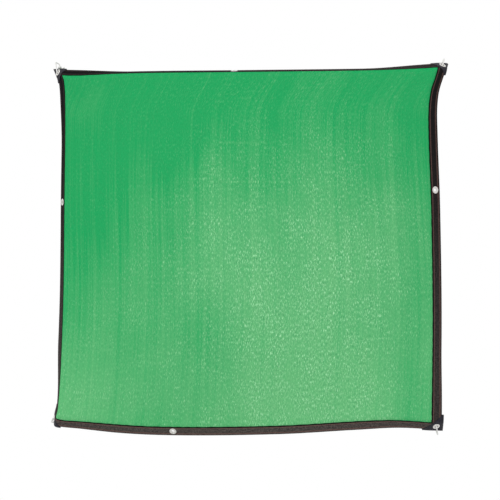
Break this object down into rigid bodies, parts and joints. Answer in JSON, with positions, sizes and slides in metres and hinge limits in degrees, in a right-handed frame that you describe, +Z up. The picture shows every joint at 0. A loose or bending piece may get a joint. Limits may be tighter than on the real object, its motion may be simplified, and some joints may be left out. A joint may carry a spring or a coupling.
{
  "type": "shade net panel",
  "caption": "Rectangular green knitted shade net with a dark hem tape, patched corners, metal eyelets and cord tie loops to stretch it between posts.",
  "frame": {"origin": "midway between the centres of the two top corner eyelets, where the hung net is carried", "axes": "+X to the right along the top hem, +Z up, the front of the net with its belly faces -Y"},
  "size_m": [1.5362, 0.2121, 1.4496],
  "materials": {
    "net": "green knitted polyethylene shade net, light shows through its small openings",
    "tape": "brown-black woven hem tape, two rows of reddish-brown lockstitch",
    "patch": "blue-black coated fabric corner patch",
    "eyelet": "bright pressed aluminium",
    "cord": "white braided polyester cord"
  },
  "bodies": {
    "net": {"net_panel": "net", "hem_top": "tape", "hem_right": "tape", "hem_bottom": "tape", "hem_left": "tape", "patch_front_top_left": "patch", "patch_front_top_right": "patch", "patch_front_bottom_right": "patch", "patch_front_bottom_left": "patch", "patch_back_top_left": "patch", "patch_back_top_right": "patch", "patch_back_bottom_right": "patch", "patch_back_bottom_left": "patch", "eyelet_top_left": "eyelet", "eyelet_top_right": "eyelet", "eyelet_bottom_right": "eyelet", "eyelet_bottom_left": "eyelet", "eyelet_top": "eyelet", "eyelet_right": "eyelet", "eyelet_bottom": "eyelet", "eyelet_left": "eyelet", "washer_top_left": "eyelet", "washer_top_right": "eyelet", "washer_bottom_right": "eyelet", "washer_bottom_left": "eyelet", "washer_top": "eyelet", "washer_right": "eyelet", "washer_bottom": "eyelet", "washer_left": "eyelet"},
    "loop_top_left": {"tie_loop_top_left": "cord"},
    "loop_top_right": {"tie_loop_top_right": "cord"},
    "loop_bottom_right": {"tie_loop_bottom_right": "cord"},
    "loop_bottom_left": {"tie_loop_bottom_left": "cord"}
  },
  "joints": [
    {"name": "loop_swing_top_left", "type": "hinge", "parent": "net", "child": "loop_top_left", "pos_m": [-0.73494, -0.00082, -0.01561], "axis": [-0.6664, -0.6772, 0.312], "range_deg": [-45, 45]},
    {"name": "loop_swing_top_right", "type": "hinge", "parent": "net", "child": "loop_top_right", "pos_m": [0.73494, 0.00082, 0.01561], "axis": [0.3432, -0.5123, 0.7872], "range_deg": [-45, 45]},
    {"name": "loop_swing_bottom_right", "type": "hinge", "parent": "net", "child": "loop_bottom_right", "pos_m": [0.73974, -0.01331, -1.32853], "axis": [0.2475, -0.6989, -0.671], "range_deg": [-45, 45]},
    {"name": "loop_swing_bottom_left", "type": "hinge", "parent": "net", "child": "loop_bottom_left", "pos_m": [-0.72305, 0.00377, -1.35809], "axis": [-0.9292, -0.3631, 0.0687], "range_deg": [-45, 45]}
  ]
}
